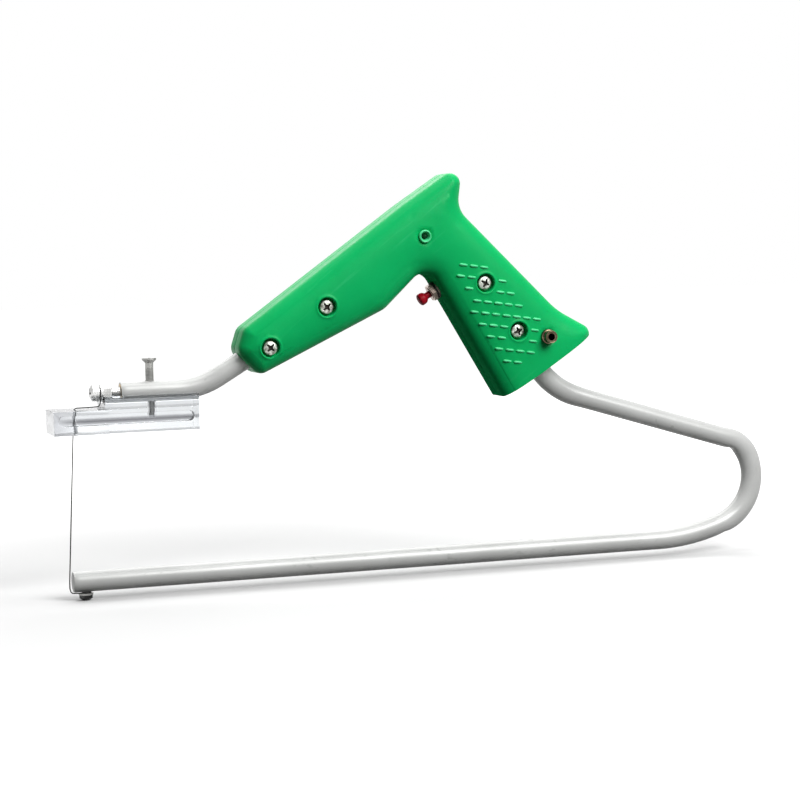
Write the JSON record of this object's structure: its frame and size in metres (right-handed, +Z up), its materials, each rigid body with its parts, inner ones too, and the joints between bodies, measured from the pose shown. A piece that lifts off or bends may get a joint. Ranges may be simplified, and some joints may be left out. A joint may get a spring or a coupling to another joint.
{
  "type": "hot wire foam cutter",
  "caption": "Pistol-grip hot-wire foam cutter: plastic handle with push switch, bent tube bow and a taut heated wire between a clear guide and the bow's end.",
  "frame": {"origin": "centre of the bounding box in X and Y, at the level of the end screw's head", "axes": "+X along the lower tube from the hot wire to the rear bend, -Y out of the side with the screw heads and socket, +Z up"},
  "size_m": [0.3728, 0.036, 0.1999],
  "materials": {
    "green_plastic": "glossy, slightly translucent jade green",
    "aluminium": "satin drawn tube",
    "clear_acrylic": "clear, polished faces and sawn ends",
    "steel": "bright zinc plate",
    "dark_steel": "dull plated",
    "resistance_wire": "drawn wire, heat tinted",
    "brass": "bare brass",
    "nickel": "nickel plate",
    "nickel_brass": "worn nickel over brass",
    "red_plastic": "glossy red",
    "dark_fibre": "matt fibre",
    "black_plastic": "moulded black",
    "dark_lens": "unlit dark lens",
    "resistor_body": "lacquered",
    "red_insulation": "soft lead insulation",
    "black_insulation": "soft lead insulation"
  },
  "bodies": {
    "frame": {"handle_shell_near": "green_plastic", "handle_shell_far": "green_plastic", "shell_screws": "steel", "bow_tube": "aluminium", "nose_tube": "aluminium", "guide_block": "clear_acrylic", "guide_plate": "clear_acrylic", "clamp_screw": "steel", "nose_end_plug": "brass", "terminal_screw": "steel", "terminal_washers": "steel", "terminal_nut": "steel", "hot_wire": "resistance_wire", "bow_end_plug": "aluminium", "wire_end_screw": "dark_steel", "wire_end_washer": "steel", "button_spring": "steel", "switch_bush": "nickel", "switch_nut": "nickel", "switch_dark_washer": "dark_fibre", "switch_pale_ring": "nickel", "switch_body": "black_plastic", "switch_tags": "brass", "socket_barrel": "nickel_brass", "socket_sleeve_nut": "nickel_brass", "socket_housing": "black_plastic", "socket_tags": "brass", "indicator_bezel": "green_plastic", "indicator_lamp": "dark_lens", "indicator_legs": "steel", "indicator_resistor": "resistor_body", "nose_solder_plug": "brass", "bow_solder_plug": "brass", "lead_socket_to_switch": "red_insulation", "lead_switch_to_nose": "red_insulation", "lead_socket_to_bow": "black_insulation", "indicator_leads": "red_insulation"},
    "button": {"button_cap": "red_plastic", "button_stem": "red_plastic"}
  },
  "joints": [
    {"name": "button_press", "type": "slide", "parent": "frame", "child": "button", "axis": [0.8658, 0, 0.5003], "range_m": [0, 0.002], "stiffness_N_per_m": 500, "springref_m": -0.002, "deforming": ["button_spring"]}
  ]
}
